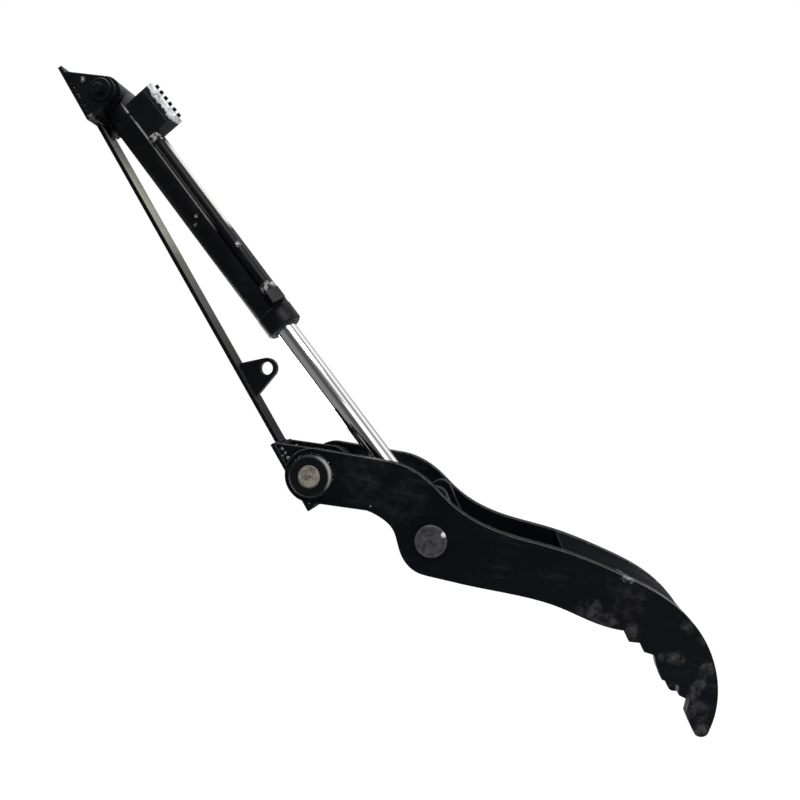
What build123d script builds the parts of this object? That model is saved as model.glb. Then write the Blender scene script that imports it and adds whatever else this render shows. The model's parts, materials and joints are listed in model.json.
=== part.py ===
"""Hydraulic excavator thumb: weld-on base, double-acting cylinder and twin-plate thumb.

Millimetres. The weld face of the base is the plane X = 0, the pins run along Y,
and Z runs up the excavator's stick, from the thumb pivot to the cylinder anchor.
The origin is on the weld face, level with the thumb pivot. The cylinder is
drawn almost fully out, which is the thumb closed towards the bucket.
"""

import os
from math import atan2, cos, degrees, hypot, radians, sin

from build123d import *

os.makedirs("parts", exist_ok=True)

# Linkage: the three pins, seen from the side
pin_height = 52.0  # pivot and anchor pins above the weld face
anchor_spacing = 833.0  # pivot pin to anchor pin, along the stick
rod_pin_out = 128.5  # pivot pin to rod pin, away from the stick
rod_pin_down = 201.5  # pivot pin to rod pin, towards the bucket

# Clearances
running_gap = 0.05  # radial, between a pin and its bush
side_gap = 1.0  # between parts that swing beside each other
pin_split_gap = 0.4  # between the split faces of the rod pin

# Base
plate_thickness = 8.0
bar_width = 42.0
anchor_plate_width = 110.0
anchor_plate_below = 33.0  # anchor pin to the plate's lower edge
anchor_plate_above = 84.0
pivot_plate_width = 110.0
pivot_plate_bottom = -53.0
pivot_plate_top = 88.0
ear_thickness = 12.0
anchor_ear_radius = 27.0
anchor_foot_below = 30.0  # anchor pin to the lower end of the ears' foot
anchor_foot_above = 71.0
pivot_ear_radius = 42.0
pivot_foot_bottom = -50.0
pivot_foot_top = 86.0
pivot_ear_inside = 38.0  # half the gap between the pivot ears
pivot_tube_radius = 30.0
pivot_bush_length = 34.0
rib_height = 10.0
rib_length = 30.0
rib_thickness = 12.0
rib_slope = 18.0
lug_thickness = 12.0
lug_hole_radius = 12.5
lug_eye_radius = 20.0
lug_level = 223.0
lug_foot_length = 72.0

# Pins and bushes
anchor_pin_radius = 15.0
pivot_pin_radius = 20.0
rod_pin_radius = 22.5
rod_pin_head_radius = 28.0
rod_pin_head = 9.0  # how far the head stands off the side plate
bush_wall = 5.0
washer_radius = 21.5
washer_thickness = 5.0
bolt_radius = 6.0
bolt_flats = 18.0
bolt_head = 7.5
bolt_reach = 22.0
lock_bolt_radius = 4.0
lock_bolt_flats = 12.0
lock_bolt_head = 5.0
lock_bolt_seat = 1.0  # depth of the flat under the bolt's head
lock_bolt_seat_radius = 7.2
lock_bolt_reach = 23.0
pin_edge = 1.5
pin_centre_radius = 3.0  # lathe centre in the end of a pin
pin_centre_depth = 2.5
washer_edge = 1.0

# Thumb
thumb_width = 200.0
side_plate = 20.0
hub_radius = 48.0
boss_radius = 37.5
boss_proud = 15.0
boss_edge = 3.0
rod_eye_side_gap = 3.0
inner_ear_thickness = 20.0
inner_ear_radius = 46.0
ear_nose_radius = 20.0
ear_nose = (39.0, 56.0)  # from the rod pin
ear_root_radius = 10.0
ear_root = (-29.7, -33.8)
ear_heel_radius = 8.0
ear_heel = (38.0, -62.0)
cover_thickness = 8.0
palm_thickness = 10.0
edge_inset = 1.5  # plate edges set in for their weld
web_thickness = 10.0
web_height = 60.0

# Cylinder, measured along its axis from the anchor pin
barrel_radius = 35.0
bore_radius = 30.0
rod_radius = 20.0
barrel_eye_radius = 32.0
barrel_eye_width = 82.0
cap_start = 18.0
cap_end = 60.0
cap_recess = 10.0
cap_recess_radius = 24.0
tube_end = 530.0
barrel_end = 567.0
gland_radius = 36.0
gland_edge = 4.0
gland_spigot = 14.0
wiper_radius = 26.0
wiper_depth = 7.0
wiper_lip = 1.5
wiper_edge = 1.0
piston_length = 30.0
piston_stop = 2.0  # piston to gland, as drawn
seal_depth = 4.0
seal_width = 6.0
seal_inset = 4.0
rod_thread_radius = 14.0
piston_nut_length = 14.0
piston_nut_flats = 38.0
rod_neck = 68.0  # rod pin to the end of the chromed rod
rod_collar_radius = 25.0
rod_collar_edge = 3.0
rod_eye_radius = 42.0
rod_eye_width = 80.0

# Hydraulics, measured from the cylinder's axis: across, and towards the near side
pipe_radius = 10.0
pipe_wall = 2.0
pipe_across = 27.0
pipe_near = 41.0
pipe_nut_flats = 24.0
pipe_nut_length = 16.0
block_start = 53.0
block_length = 79.0
block_inner = 18.0
block_top = 64.5
block_near = 52.0
block_depth = 32.0
cover_height = 20.0
cover_edge = 2.0
screw_count = 6
screw_pitch = 14.0
screw_radius = 3.6
screw_height = 6.0
screw_socket = 4.0
screw_socket_depth = 3.0
port_across = 50.0
port_radius = 8.3
port_depth = 16.0
port_spacing = 36.0
head_port_length = 26.0
head_port_width = 26.0
head_port_reach = 60.0
oil_hole_radius = 4.0
saddle_level = 368.0
saddle_length = 24.0
saddle_width = 14.0
nipple_radius = 4.5
nipple_height = 5.0
nipple_tip_radius = 2.8
nipple_tip_height = 5.0

# Worked out from the sizes above
pivot = Vector(pin_height, 0, 0)
anchor = Vector(pin_height, 0, anchor_spacing)
rod_pin = Vector(pin_height + rod_pin_out, 0, -rod_pin_down)
cylinder_length = (rod_pin - anchor).length
cylinder_tilt = atan2(rod_pin_out, anchor_spacing + rod_pin_down)
along = Vector(sin(cylinder_tilt), 0, -cos(cylinder_tilt))
across = Vector(cos(cylinder_tilt), 0, sin(cylinder_tilt))
cylinder_axis = Axis(anchor, along)
half_thumb = thumb_width / 2
plate_inside = half_thumb - side_plate
anchor_ear_inside = barrel_eye_width / 2 + side_gap
anchor_ear_outside = anchor_ear_inside + ear_thickness
pivot_ear_outside = pivot_ear_inside + ear_thickness
anchor_plate_bottom = anchor_spacing - anchor_plate_below
anchor_plate_top = anchor_spacing + anchor_plate_above
boss_inside = pivot_ear_outside + side_gap
boss_outside = half_thumb + boss_proud
inner_ear_inside = rod_eye_width / 2 + rod_eye_side_gap
inner_ear_outside = inner_ear_inside + inner_ear_thickness
near_and_far = {"near": 1, "far": -1}

# Side views look from the near side, and their local Z points at the viewer
base_view = Plane.XZ
pivot_view = Plane(pivot, x_dir=(1, 0, 0), z_dir=(0, -1, 0))
anchor_view = Plane(anchor, x_dir=(1, 0, 0), z_dir=(0, -1, 0))
rod_pin_view = Plane(rod_pin, x_dir=across, z_dir=(0, -1, 0))
cylinder_view = Plane(anchor, x_dir=across, z_dir=(0, -1, 0))
cylinder_end_on = Plane(anchor, x_dir=across, z_dir=along)


# Base: the plates that are welded to the stick
plate_spans = {
    "anchor_plate": (anchor_plate_bottom, anchor_plate_top, anchor_plate_width),
    "base_bar": (pivot_plate_top, anchor_plate_bottom, bar_width),
    "pivot_plate": (pivot_plate_bottom, pivot_plate_top, pivot_plate_width),
}
for name, (bottom, top, width) in plate_spans.items():
    with BuildPart() as base_plate:
        with BuildSketch(Plane.YZ):
            with Locations((0, (bottom + top) / 2)):
                Rectangle(width, top - bottom)
        extrude(amount=plate_thickness)
    base_plate.part.label = name
    export_step(base_plate.part, f"parts/{name}.step")


def eye_on_foot(eye, radius, bore, foot_bottom, foot_top):
    """Side view of an eye drawn out to a foot on the base plates."""
    with BuildSketch() as profile:
        with Locations((eye.X, eye.Z)):
            Circle(radius)
        with Locations((plate_thickness, (foot_bottom + foot_top) / 2)):
            Rectangle(1, foot_top - foot_bottom, align=(Align.MIN, Align.CENTER))
        make_hull()
        with Locations((eye.X, eye.Z)):
            Circle(bore, mode=Mode.SUBTRACT)
    return profile.sketch


for side, sign in near_and_far.items():
    with BuildPart() as anchor_ear:
        with BuildSketch(base_view.offset(sign * anchor_ear_inside)):
            add(
                eye_on_foot(
                    anchor,
                    anchor_ear_radius,
                    anchor_pin_radius,
                    anchor_spacing - anchor_foot_below,
                    anchor_spacing + anchor_foot_above,
                )
            )
        extrude(amount=sign * ear_thickness)
    anchor_ear.part.label = f"anchor_ear_{side}"
    export_step(anchor_ear.part, f"parts/anchor_ear_{side}.step")

    with BuildPart() as pivot_ear:
        with BuildSketch(base_view.offset(sign * pivot_ear_inside)):
            add(
                eye_on_foot(
                    pivot,
                    pivot_ear_radius,
                    pivot_tube_radius,
                    pivot_foot_bottom,
                    pivot_foot_top,
                )
            )
        extrude(amount=sign * ear_thickness)
    pivot_ear.part.label = f"pivot_ear_{side}"
    export_step(pivot_ear.part, f"parts/pivot_ear_{side}.step")

# The pivot tube is welded through both ears and holds a bush at each end
with BuildPart() as pivot_tube:
    with BuildSketch(pivot_view):
        Circle(pivot_tube_radius)
        Circle(pivot_pin_radius + bush_wall, mode=Mode.SUBTRACT)
    extrude(amount=pivot_ear_outside, both=True)
pivot_tube.part.label = "pivot_tube"
export_step(pivot_tube.part, "parts/pivot_tube.step")

for side, sign in near_and_far.items():
    with BuildPart() as pivot_bush:
        with BuildSketch(pivot_view.offset(sign * pivot_ear_outside)):
            Circle(pivot_pin_radius + bush_wall)
            Circle(pivot_pin_radius + running_gap, mode=Mode.SUBTRACT)
        extrude(amount=-sign * pivot_bush_length)
    pivot_bush.part.label = f"pivot_bush_{side}"
    export_step(pivot_bush.part, f"parts/pivot_bush_{side}.step")

with BuildPart() as anchor_rib:
    with BuildSketch(base_view):
        with BuildLine():
            Polyline(
                (plate_thickness, anchor_plate_bottom),
                (plate_thickness + rib_height, anchor_plate_bottom),
                (plate_thickness + rib_height, anchor_plate_bottom - rib_length + rib_slope),
                (plate_thickness, anchor_plate_bottom - rib_length),
                close=True,
            )
        make_face()
    extrude(amount=rib_thickness / 2, both=True)
anchor_rib.part.label = "anchor_rib"
export_step(anchor_rib.part, "parts/anchor_rib.step")

# The lug takes a stop pin when the thumb is folded away
stow_eye = Vector(pin_height, 0, lug_level)
with BuildPart() as stow_lug:
    with BuildSketch(base_view):
        add(
            eye_on_foot(
                stow_eye,
                lug_eye_radius,
                lug_hole_radius,
                lug_level - lug_foot_length / 2,
                lug_level + lug_foot_length / 2,
            )
        )
    extrude(amount=lug_thickness / 2, both=True)
stow_lug.part.label = "stow_lug"
export_step(stow_lug.part, "parts/stow_lug.step")


# Anchor pin, held by a washer and a bolt at each end
with BuildPart() as anchor_pin:
    with BuildSketch(anchor_view):
        Circle(anchor_pin_radius)
    extrude(amount=anchor_ear_outside, both=True)
    for sign in near_and_far.values():
        with BuildSketch(anchor_view.offset(sign * anchor_ear_outside)):
            Circle(bolt_radius)
        extrude(amount=-sign * bolt_reach, mode=Mode.SUBTRACT)
anchor_pin.part.label = "anchor_pin"
export_step(anchor_pin.part, "parts/anchor_pin.step")

for side, sign in near_and_far.items():
    with BuildPart() as anchor_washer:
        with BuildSketch(anchor_view.offset(sign * anchor_ear_outside)):
            Circle(washer_radius)
        extrude(amount=sign * washer_thickness)
        chamfer(anchor_washer.faces().sort_by(Axis.Y)[min(sign, 0)].edges(), washer_edge)
        with BuildSketch(anchor_view.offset(sign * anchor_ear_outside)):
            Circle(bolt_radius)
        extrude(amount=sign * washer_thickness, mode=Mode.SUBTRACT)
    anchor_washer.part.label = f"anchor_washer_{side}"
    export_step(anchor_washer.part, f"parts/anchor_washer_{side}.step")

    washer_face = anchor_view.offset(sign * (anchor_ear_outside + washer_thickness))
    with BuildPart() as anchor_bolt:
        with BuildSketch(washer_face):
            RegularPolygon(bolt_flats / 2, 6, major_radius=False)
        extrude(amount=sign * bolt_head)
        with BuildSketch(washer_face):
            Circle(bolt_radius)
        extrude(amount=-sign * (washer_thickness + bolt_reach))
    anchor_bolt.part.label = f"anchor_bolt_{side}"
    export_step(anchor_bolt.part, f"parts/anchor_bolt_{side}.step")


# Cylinder barrel: eye and cap, tube, gland
with BuildPart() as barrel_eye:
    with BuildSketch(cylinder_view):
        Circle(barrel_eye_radius)
    extrude(amount=barrel_eye_width / 2, both=True)
    with BuildSketch(cylinder_end_on.offset(cap_start)):
        Circle(barrel_radius)
    extrude(amount=cap_end - cap_start)
    with BuildSketch(cylinder_end_on.offset(cap_end)):
        Circle(cap_recess_radius)
    extrude(amount=-cap_recess, mode=Mode.SUBTRACT)
    with BuildSketch(cylinder_view):
        Circle(anchor_pin_radius + bush_wall)
    extrude(amount=barrel_eye_width / 2, both=True, mode=Mode.SUBTRACT)
barrel_eye.part.label = "barrel_eye"
export_step(barrel_eye.part, "parts/barrel_eye.step")

with BuildPart() as barrel_bush:
    with BuildSketch(cylinder_view):
        Circle(anchor_pin_radius + bush_wall)
        Circle(anchor_pin_radius + running_gap, mode=Mode.SUBTRACT)
    extrude(amount=barrel_eye_width / 2, both=True)
barrel_bush.part.label = "barrel_bush"
export_step(barrel_bush.part, "parts/barrel_bush.step")

oil_hole_level = tube_end - gland_spigot - oil_hole_radius - 1
oil_direction = across * pipe_across + Vector(0, -pipe_near, 0)
oil_hole_view = Plane(anchor + along * oil_hole_level, x_dir=along, z_dir=oil_direction)
with BuildPart() as barrel_tube:
    with BuildSketch(cylinder_end_on.offset(cap_end)):
        Circle(barrel_radius)
        Circle(bore_radius, mode=Mode.SUBTRACT)
    extrude(amount=tube_end - cap_end)
    with BuildSketch(oil_hole_view):
        Circle(oil_hole_radius)
    extrude(amount=barrel_radius + 1, mode=Mode.SUBTRACT)
barrel_tube.part.label = "barrel_tube"
export_step(barrel_tube.part, "parts/barrel_tube.step")

with BuildPart() as gland:
    with BuildSketch(cylinder_end_on.offset(tube_end)):
        Circle(gland_radius)
    extrude(amount=barrel_end - tube_end)
    chamfer(gland.edges().sort_by(cylinder_axis)[-1], gland_edge)
    with BuildSketch(cylinder_end_on.offset(tube_end)):
        Circle(bore_radius)
    extrude(amount=-gland_spigot)
    with BuildSketch(cylinder_end_on.offset(tube_end - gland_spigot)):
        Circle(rod_radius + running_gap)
    extrude(amount=barrel_end - tube_end + gland_spigot, mode=Mode.SUBTRACT)
    with BuildSketch(cylinder_end_on.offset(barrel_end)):
        Circle(wiper_radius)
    extrude(amount=-wiper_depth, mode=Mode.SUBTRACT)
gland.part.label = "gland"
export_step(gland.part, "parts/gland.step")

with BuildPart() as rod_wiper:
    with BuildSketch(cylinder_end_on.offset(barrel_end - wiper_depth)):
        Circle(wiper_radius)
    extrude(amount=wiper_depth + wiper_lip)
    chamfer(rod_wiper.edges().sort_by(cylinder_axis)[-1], wiper_edge)
    with BuildSketch(cylinder_end_on.offset(barrel_end - wiper_depth)):
        Circle(rod_radius + running_gap)
    extrude(amount=wiper_depth + wiper_lip, mode=Mode.SUBTRACT)
rod_wiper.part.label = "rod_wiper"
export_step(rod_wiper.part, "parts/rod_wiper.step")


# Hydraulics on the barrel: lock valve block, its screwed cover and the hard pipe
block_middle = block_near - block_depth / 2
port_view = Plane(anchor, x_dir=along, z_dir=(0, 1, 0)).offset(block_depth - block_near)
with BuildPart() as valve_block:
    with BuildSketch(cylinder_end_on.offset(block_start)):
        with Locations((block_inner, block_near)):
            Rectangle(block_top - block_inner, block_depth, align=(Align.MIN, Align.MAX))
        Circle(barrel_radius, mode=Mode.SUBTRACT)
    extrude(amount=block_length)
    with BuildSketch(port_view):
        with Locations((block_start + block_length / 2, -port_across)):
            with GridLocations(port_spacing, 1, 2, 1):
                Circle(port_radius)
    extrude(amount=-port_depth, mode=Mode.SUBTRACT)
valve_block.part.label = "valve_block"
export_step(valve_block.part, "parts/valve_block.step")

with BuildPart() as valve_cover:
    with BuildSketch(cylinder_end_on.offset(block_start)):
        with Locations((block_top, block_near)):
            Rectangle(cover_height, block_depth, align=(Align.MIN, Align.MAX))
    extrude(amount=block_length)
    outer_edges = valve_cover.edges().filter_by(cylinder_axis).sort_by(Axis(anchor, across))[-2:]
    chamfer(outer_edges, cover_edge)
valve_cover.part.label = "valve_cover"
export_step(valve_cover.part, "parts/valve_cover.step")

cover_middle = anchor + along * (block_start + block_length / 2) - Vector(0, block_middle, 0)
screw_view = Plane(cover_middle, x_dir=along, z_dir=across).offset(block_top + cover_height)
with BuildPart() as cover_screws:
    with BuildSketch(screw_view):
        with GridLocations(screw_pitch, 1, screw_count, 1):
            Circle(screw_radius)
    extrude(amount=screw_height)
    with BuildSketch(screw_view.offset(screw_height)):
        with GridLocations(screw_pitch, 1, screw_count, 1):
            RegularPolygon(screw_socket / 2, 6, major_radius=False)
    extrude(amount=-screw_socket_depth, mode=Mode.SUBTRACT)
cover_screws.part.label = "cover_screws"
export_step(cover_screws.part, "parts/cover_screws.step")

pipe_start = block_start + block_length
pipe_end = tube_end - head_port_length
with BuildPart() as hard_pipe:
    with BuildSketch(cylinder_end_on.offset(pipe_start)):
        with Locations((pipe_across, pipe_near)):
            Circle(pipe_radius)
            Circle(pipe_radius - pipe_wall, mode=Mode.SUBTRACT)
    extrude(amount=pipe_end - pipe_start)
hard_pipe.part.label = "hard_pipe"
export_step(hard_pipe.part, "parts/hard_pipe.step")

with BuildPart() as pipe_nuts:
    for level in (pipe_start, pipe_end - pipe_nut_length):
        with BuildSketch(cylinder_end_on.offset(level)):
            with Locations((pipe_across, pipe_near)):
                RegularPolygon(pipe_nut_flats / 2, 6, major_radius=False)
                Circle(pipe_radius, mode=Mode.SUBTRACT)
        extrude(amount=pipe_nut_length)
pipe_nuts.part.label = "pipe_nuts"
export_step(pipe_nuts.part, "parts/pipe_nuts.step")

with BuildPart() as head_port:
    with BuildSketch(cylinder_end_on.offset(pipe_end)):
        with Locations(Location((0, 0), degrees(atan2(pipe_near, pipe_across)))):
            Rectangle(head_port_reach, head_port_width, align=(Align.MIN, Align.CENTER))
        Circle(barrel_radius, mode=Mode.SUBTRACT)
    extrude(amount=head_port_length)
    with BuildSketch(oil_hole_view):
        Circle(oil_hole_radius)
    extrude(amount=hypot(pipe_across, pipe_near), mode=Mode.SUBTRACT)
head_port.part.label = "head_port"
export_step(head_port.part, "parts/head_port.step")

with BuildPart() as pipe_saddle:
    with BuildSketch(cylinder_end_on.offset(saddle_level)):
        with Locations(Location((0, 0), degrees(atan2(pipe_near, pipe_across)))):
            Rectangle(hypot(pipe_across, pipe_near), saddle_width, align=(Align.MIN, Align.CENTER))
        Circle(barrel_radius, mode=Mode.SUBTRACT)
        with Locations((pipe_across, pipe_near)):
            Circle(pipe_radius, mode=Mode.SUBTRACT)
    extrude(amount=saddle_length)
pipe_saddle.part.label = "pipe_saddle"
export_step(pipe_saddle.part, "parts/pipe_saddle.step")


# Rod, with its piston and its eye
piston_end = tube_end - gland_spigot - piston_stop
piston_start = piston_end - piston_length
rod_end = cylinder_length - rod_neck
seal_levels = (piston_start + seal_inset, piston_end - seal_inset - seal_width)
with BuildPart() as rod:
    with BuildSketch(cylinder_end_on.offset(piston_end)):
        Circle(rod_radius)
    extrude(amount=rod_end - piston_end)
    with BuildSketch(cylinder_end_on.offset(piston_start - piston_nut_length)):
        Circle(rod_thread_radius)
    extrude(amount=piston_length + piston_nut_length)
rod.part.label = "rod"
export_step(rod.part, "parts/rod.step")

with BuildPart() as piston:
    with BuildSketch(cylinder_end_on.offset(piston_start)):
        Circle(bore_radius - 2 * running_gap)
        Circle(rod_thread_radius, mode=Mode.SUBTRACT)
    extrude(amount=piston_length)
    for level in seal_levels:
        with BuildSketch(cylinder_end_on.offset(level)):
            Circle(bore_radius)
            Circle(bore_radius - seal_depth, mode=Mode.SUBTRACT)
        extrude(amount=seal_width, mode=Mode.SUBTRACT)
piston.part.label = "piston"
export_step(piston.part, "parts/piston.step")

with BuildPart() as piston_seals:
    for level in seal_levels:
        with BuildSketch(cylinder_end_on.offset(level)):
            Circle(bore_radius - running_gap)
            Circle(bore_radius - seal_depth, mode=Mode.SUBTRACT)
        extrude(amount=seal_width)
piston_seals.part.label = "piston_seals"
export_step(piston_seals.part, "parts/piston_seals.step")

with BuildPart() as piston_nut:
    with BuildSketch(cylinder_end_on.offset(piston_start)):
        RegularPolygon(piston_nut_flats / 2, 6, major_radius=False)
        Circle(rod_thread_radius, mode=Mode.SUBTRACT)
    extrude(amount=-piston_nut_length)
piston_nut.part.label = "piston_nut"
export_step(piston_nut.part, "parts/piston_nut.step")

with BuildPart() as rod_eye:
    with BuildSketch(rod_pin_view):
        Circle(rod_eye_radius)
    extrude(amount=rod_eye_width / 2, both=True)
    with BuildSketch(cylinder_end_on.offset(rod_end)):
        Circle(rod_collar_radius)
    extrude(amount=rod_neck - rod_pin_radius - bush_wall)
    collar_rim = rod_eye.edges().filter_by(GeomType.CIRCLE).sort_by(cylinder_axis)[0]
    chamfer(collar_rim, rod_collar_edge)
    with BuildSketch(rod_pin_view):
        Circle(rod_pin_radius + bush_wall)
    extrude(amount=rod_eye_width / 2, both=True, mode=Mode.SUBTRACT)
rod_eye.part.label = "rod_eye"
export_step(rod_eye.part, "parts/rod_eye.step")

with BuildPart() as rod_bush:
    with BuildSketch(rod_pin_view):
        Circle(rod_pin_radius + bush_wall)
        Circle(rod_pin_radius, mode=Mode.SUBTRACT)
    extrude(amount=rod_eye_width / 2, both=True)
rod_bush.part.label = "rod_bush"
export_step(rod_bush.part, "parts/rod_bush.step")

# The rod pin is split at the inside faces of the thumb's ears
with BuildPart() as rod_pin_core:
    with BuildSketch(rod_pin_view):
        Circle(rod_pin_radius)
    extrude(amount=inner_ear_inside - pin_split_gap, both=True)
rod_pin_core.part.label = "rod_pin_core"
export_step(rod_pin_core.part, "parts/rod_pin_core.step")


# Grease nipples, screwed into the side of each bushed eye
nipple_seats = {
    "anchor_nipple": (anchor, along * -1, barrel_eye_radius),
    "rod_nipple": (rod_pin, across, rod_eye_radius),
    "pivot_nipple": (pivot, Vector(1, 0, 0), pivot_tube_radius),
}
for name, (pin, outward, eye_radius) in nipple_seats.items():
    nipple_base = Plane(pin, x_dir=(0, 1, 0), z_dir=outward).offset(eye_radius + nipple_height)
    with BuildPart() as grease_nipple:
        with BuildSketch(nipple_base):
            RegularPolygon(nipple_radius, 6)
        extrude(amount=-2 * nipple_height)
        with BuildSketch(nipple_base):
            Circle(nipple_tip_radius)
        extrude(amount=nipple_tip_height)
        chamfer(grease_nipple.edges().sort_by(Axis(pin, outward))[-1], nipple_tip_radius / 2)
        with BuildSketch(Plane(pin, x_dir=outward, z_dir=(0, -1, 0))):
            Circle(eye_radius)
        extrude(amount=2 * nipple_radius, both=True, mode=Mode.SUBTRACT)
    grease_nipple.part.label = name
    export_step(grease_nipple.part, f"parts/{name}.step")


# Thumb: outline of the side plates, measured from the pivot pin
back_tangent = 52.0  # where the back edge leaves the hub, in degrees
front_tangent = 233.0
back_points = [
    (127, -42),
    (160, -78),
    (178, -117),
    (188, -155),
    (205, -197),
    (239, -246),
    (312, -320),
    (378, -401),
    (425, -476),
    (443, -548),
    (436, -602),
    (409, -657),
    (374, -692),
]
tip_middle = (362, -697)
tip_end = (350.5, -688)
tooth_points = [
    (353, -664),
    (355, -652),
    (371, -635),
    (360, -619),
    (368.5, -606),
    (349, -585),
    (353, -562),
    (359, -544),
    (347, -532),
    (349, -516),
    (334, -506),
]
front_points = [
    (336, -486),
    (300, -452),
    (263, -404),
    (214, -355.5),
    (148, -301),
    (98, -257),
    (78, -236),
    (69.5, -206),
    (73, -183),
    (79.5, -152),
    (71, -124),
    (56, -102),
]
tooth_radius = 2.5


def on_hub(angle):
    return (hub_radius * cos(radians(angle)), hub_radius * sin(radians(angle)))


with BuildSketch() as side_profile:
    with BuildLine():
        Line(on_hub(back_tangent), back_points[0])
        back_edge = Spline(*back_points)
        ThreePointArc(back_points[-1], tip_middle, tip_end)
        Polyline(tip_end, *tooth_points, front_points[0])
        front_edge = Spline(*front_points)
        Line(front_points[-1], on_hub(front_tangent))
        ThreePointArc(
            on_hub(front_tangent),
            on_hub((front_tangent + back_tangent) / 2),
            on_hub(back_tangent),
        )
    make_face()
    tooth_corners = side_profile.vertices().filter_by(
        lambda corner: any(
            (Vector(corner) - Vector(x, z)).length < tooth_radius for x, z in tooth_points
        )
    )
    fillet(tooth_corners, tooth_radius)
    Circle(boss_radius, mode=Mode.SUBTRACT)
    with Locations((rod_pin_out, -rod_pin_down)):
        Circle(rod_pin_radius, mode=Mode.SUBTRACT)


def strip(edge, start, end, thickness):
    """Side view of a plate bent to follow a stretch of an edge, on its inner side."""
    stations = [start + (end - start) * number / 8 for number in range(9)]
    curves = []
    for depth in (edge_inset, edge_inset + thickness):
        curve = []
        for station in stations:
            tangent = edge.tangent_at(station)
            inward = Vector(tangent.Y, -tangent.X, 0)
            curve.append(edge.position_at(station) + inward * depth)
        curves.append(curve)
    with BuildSketch() as profile:
        with BuildLine():
            outside = Spline(*curves[0])
            inside = Spline(*curves[1])
            Line(outside @ 0, inside @ 0)
            Line(outside @ 1, inside @ 1)
        make_face()
    return profile.sketch


cover_from = 0.45
palm_to = 0.68
web_station = 0.47
cover_profile = strip(back_edge, cover_from, 0.99, cover_thickness)
palm_profile = strip(front_edge, 0.01, palm_to, palm_thickness)

with BuildPart() as back_cover:
    with BuildSketch(pivot_view):
        add(cover_profile)
    extrude(amount=plate_inside, both=True)
back_cover.part.label = "back_cover"
export_step(back_cover.part, "parts/back_cover.step")

with BuildPart() as palm_plate:
    with BuildSketch(pivot_view):
        add(palm_profile)
    extrude(amount=plate_inside, both=True)
palm_plate.part.label = "palm_plate"
export_step(palm_plate.part, "parts/palm_plate.step")

web_tangent = front_edge.tangent_at(web_station)
web_foot = front_edge.position_at(web_station)
web_angle = degrees(atan2(-web_tangent.X, web_tangent.Y))
with BuildSketch() as web_profile:
    with Locations(Location((web_foot.X, web_foot.Y), web_angle)):
        with Locations((edge_inset + palm_thickness / 2, 0)):
            Rectangle(web_height, web_thickness, align=(Align.MIN, Align.CENTER))
    add(palm_profile, mode=Mode.SUBTRACT)
with BuildPart() as cross_web:
    with BuildSketch(pivot_view):
        add(web_profile.sketch)
    extrude(amount=plate_inside, both=True)
cross_web.part.label = "cross_web"
export_step(cross_web.part, "parts/cross_web.step")

with BuildSketch() as ear_profile:
    with Locations((rod_pin_out, -rod_pin_down)):
        Circle(inner_ear_radius)
        with Locations(ear_nose):
            Circle(ear_nose_radius)
        with Locations(ear_root):
            Circle(ear_root_radius)
        with Locations(ear_heel):
            Circle(ear_heel_radius)
    make_hull()
    with Locations((rod_pin_out, -rod_pin_down)):
        Circle(rod_pin_radius, mode=Mode.SUBTRACT)
    add(palm_profile, mode=Mode.SUBTRACT)
    add(web_profile.sketch, mode=Mode.SUBTRACT)

lock_seat = Plane(
    pivot + Vector(boss_radius - lock_bolt_seat, half_thumb + boss_proud / 2, 0),
    x_dir=(0, 1, 0),
    z_dir=(1, 0, 0),
)
for side, sign in near_and_far.items():
    with BuildPart() as side_plate_part:
        with BuildSketch(pivot_view.offset(sign * plate_inside)):
            add(side_profile.sketch)
        extrude(amount=sign * side_plate)
    side_plate_part.part.label = f"side_plate_{side}"
    export_step(side_plate_part.part, f"parts/side_plate_{side}.step")

    with BuildPart() as hub_boss:
        with BuildSketch(pivot_view.offset(sign * boss_inside)):
            Circle(boss_radius)
        extrude(amount=sign * (boss_outside - boss_inside))
        chamfer(hub_boss.faces().sort_by(Axis.Y)[min(sign, 0)].edges(), boss_edge)
        with BuildSketch(pivot_view.offset(sign * boss_inside)):
            Circle(pivot_pin_radius)
        extrude(amount=sign * (boss_outside - boss_inside), mode=Mode.SUBTRACT)
        if side == "far":
            with BuildSketch(lock_seat):
                Circle(lock_bolt_seat_radius)
            extrude(amount=lock_bolt_head, mode=Mode.SUBTRACT)
            with BuildSketch(lock_seat):
                Circle(lock_bolt_radius)
            extrude(amount=-lock_bolt_reach, mode=Mode.SUBTRACT)
    hub_boss.part.label = f"hub_boss_{side}"
    export_step(hub_boss.part, f"parts/hub_boss_{side}.step")

    with BuildPart() as inner_ear:
        with BuildSketch(pivot_view.offset(sign * inner_ear_inside)):
            add(ear_profile.sketch)
        extrude(amount=sign * inner_ear_thickness)
    inner_ear.part.label = f"inner_ear_{side}"
    export_step(inner_ear.part, f"parts/inner_ear_{side}.step")

    with BuildPart() as rod_pin_stub:
        with BuildSketch(rod_pin_view.offset(sign * half_thumb)):
            Circle(rod_pin_head_radius)
        extrude(amount=sign * rod_pin_head)
        chamfer(rod_pin_stub.faces().sort_by(Axis.Y)[min(sign, 0)].edges(), pin_edge)
        with BuildSketch(rod_pin_view.offset(sign * half_thumb)):
            Circle(rod_pin_radius)
        extrude(amount=-sign * (half_thumb - inner_ear_inside))
        with BuildSketch(rod_pin_view.offset(sign * (half_thumb + rod_pin_head))):
            Circle(pin_centre_radius)
        extrude(amount=-sign * pin_centre_depth, taper=40, mode=Mode.SUBTRACT)
    rod_pin_stub.part.label = f"rod_pin_{side}"
    export_step(rod_pin_stub.part, f"parts/rod_pin_{side}.step")

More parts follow.
